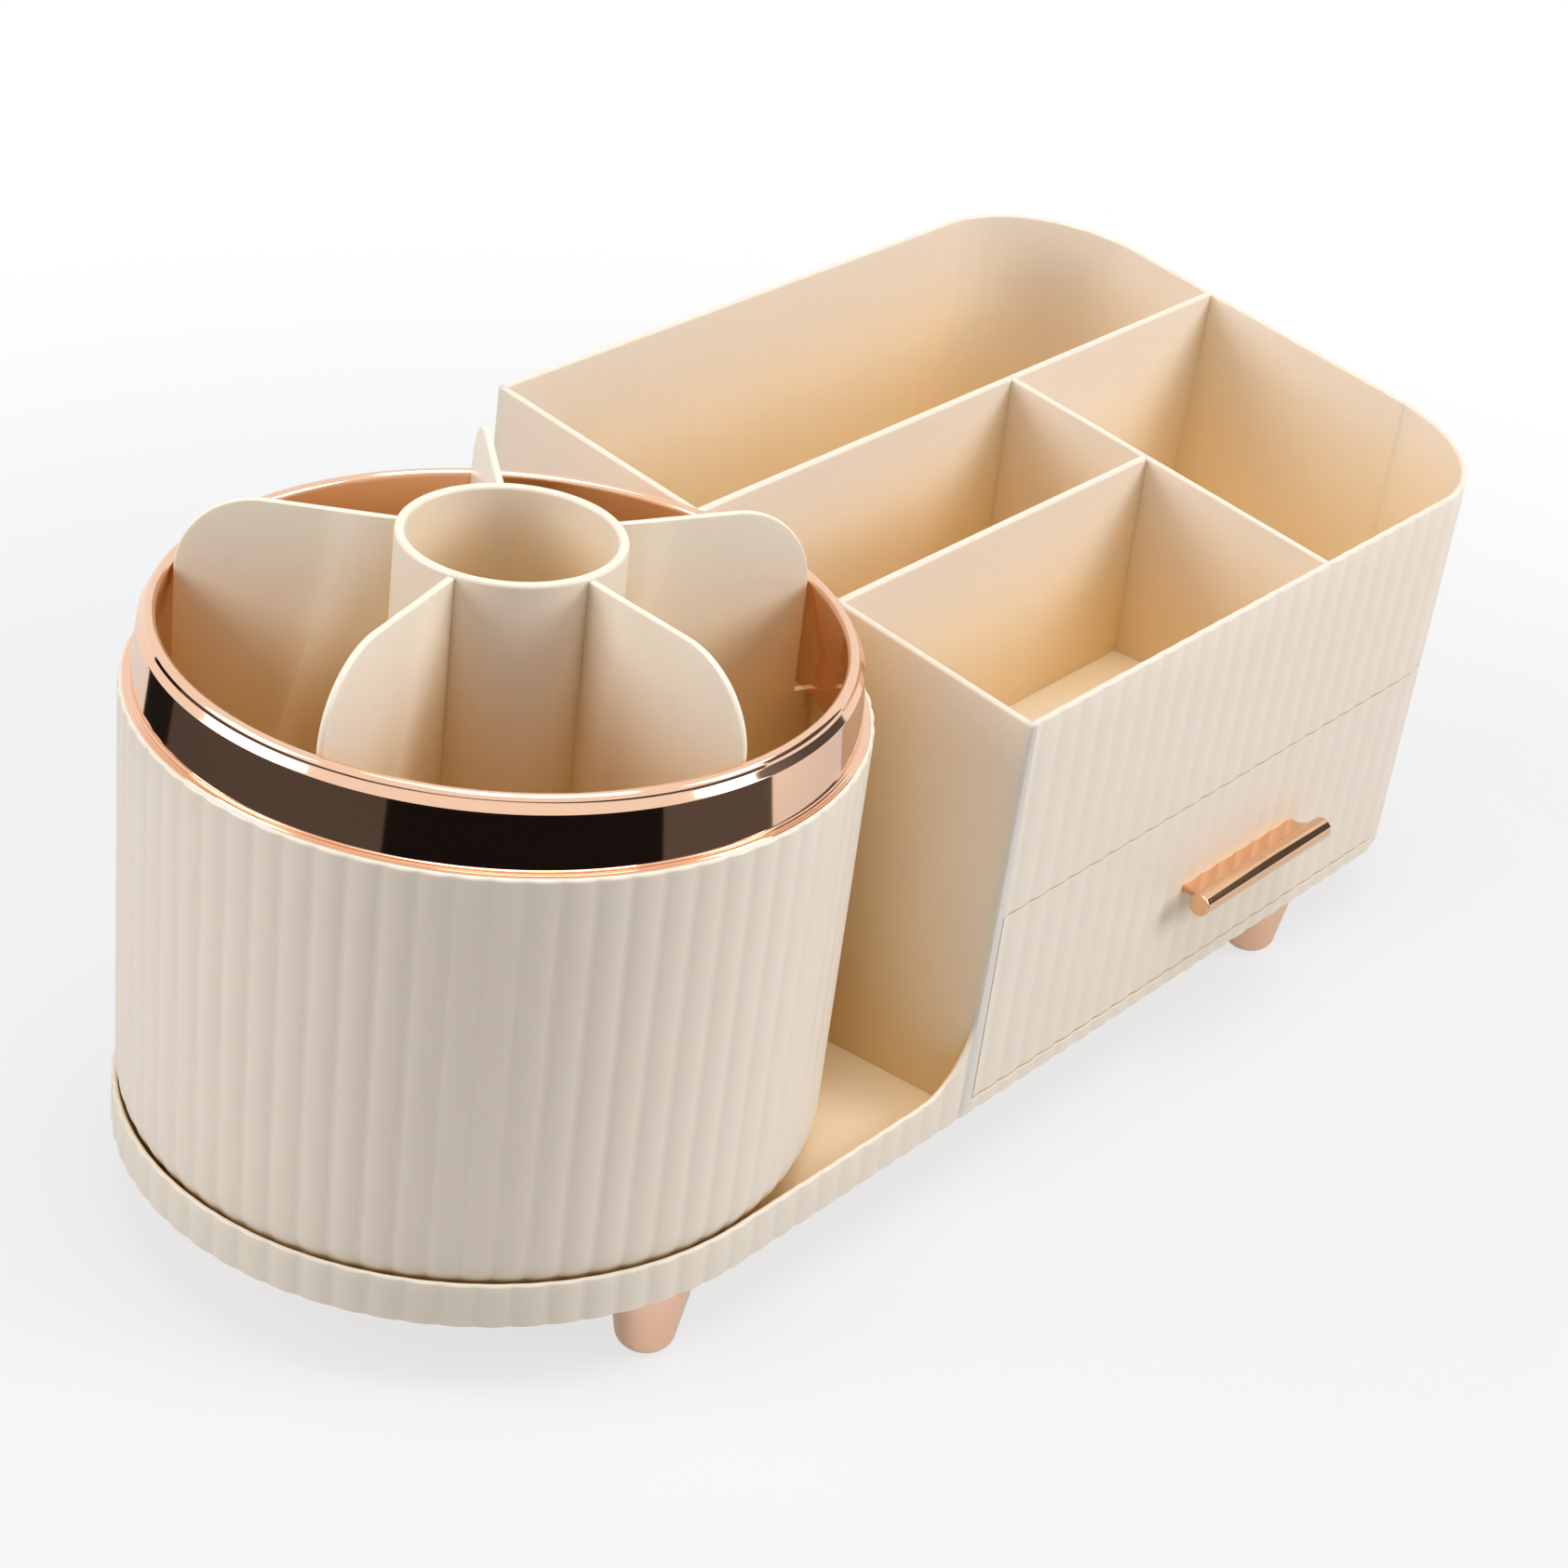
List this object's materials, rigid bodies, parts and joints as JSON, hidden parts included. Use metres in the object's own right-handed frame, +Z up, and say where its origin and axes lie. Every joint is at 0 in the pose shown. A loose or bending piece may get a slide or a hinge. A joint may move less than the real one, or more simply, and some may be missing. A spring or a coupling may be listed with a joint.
{
  "type": "rotating makeup organizer with drawer",
  "caption": "Long vanity organizer in fluted ivory plastic: a rotating divided drum for brushes beside a box with open compartments over a wrap-round drawer.",
  "frame": {"origin": "on the plane that the feet stand on, under the middle of the object's length and of its depth with the handle", "axes": "+X along the length from the drum to the end of the box, +Y to the back, away from the drawer, +Z up"},
  "size_m": [0.3107, 0.1372, 0.1323],
  "materials": {
    "ivory_plastic": "satin moulded ivory",
    "rose_gold_plate": "bright rose-gold plating",
    "rose_gold_metal": "bright rose-gold plating",
    "screw_steel": "zinc plated",
    "bearing_plastic": "natural acetal",
    "ball_steel": "polished"
  },
  "bodies": {
    "base": {"case_shell": "ivory_plastic", "compartment_insert": "ivory_plastic", "foot_front_drum": "rose_gold_plate", "foot_back_drum": "rose_gold_plate", "foot_front_box": "rose_gold_plate", "foot_back_box": "rose_gold_plate", "foot_screws": "screw_steel", "turntable_lower_race": "bearing_plastic"},
    "balls": {"turntable_ball_cage": "bearing_plastic", "turntable_balls": "ball_steel"},
    "drum": {"drum_shell": "ivory_plastic", "divider_insert": "ivory_plastic", "trim_ring": "rose_gold_plate", "turntable_upper_race": "bearing_plastic", "pivot_washer": "screw_steel", "pivot_screw": "screw_steel"},
    "drawer": {"drawer_front": "ivory_plastic", "drawer_tray": "ivory_plastic", "drawer_handle": "rose_gold_metal", "handle_clips": "screw_steel"}
  },
  "joints": [
    {"name": "drum_spin", "type": "hinge", "parent": "base", "child": "drum", "pos_m": [-0.09078, 0.0035, 0.02], "axis": [0, 0, 1], "continuous": true},
    {"name": "ball_cage_spin", "type": "hinge", "parent": "base", "child": "balls", "pos_m": [-0.09078, 0.0035, 0.0205], "axis": [0, 0, 1], "continuous": true},
    {"name": "drawer_slide", "type": "slide", "parent": "base", "child": "drawer", "axis": [0, -1, 0], "range_m": [0, 0.0997]}
  ],
  "couplings": [
    {"joint": "ball_cage_spin", "follows": "drum_spin", "ratio": 0.5}
  ]
}
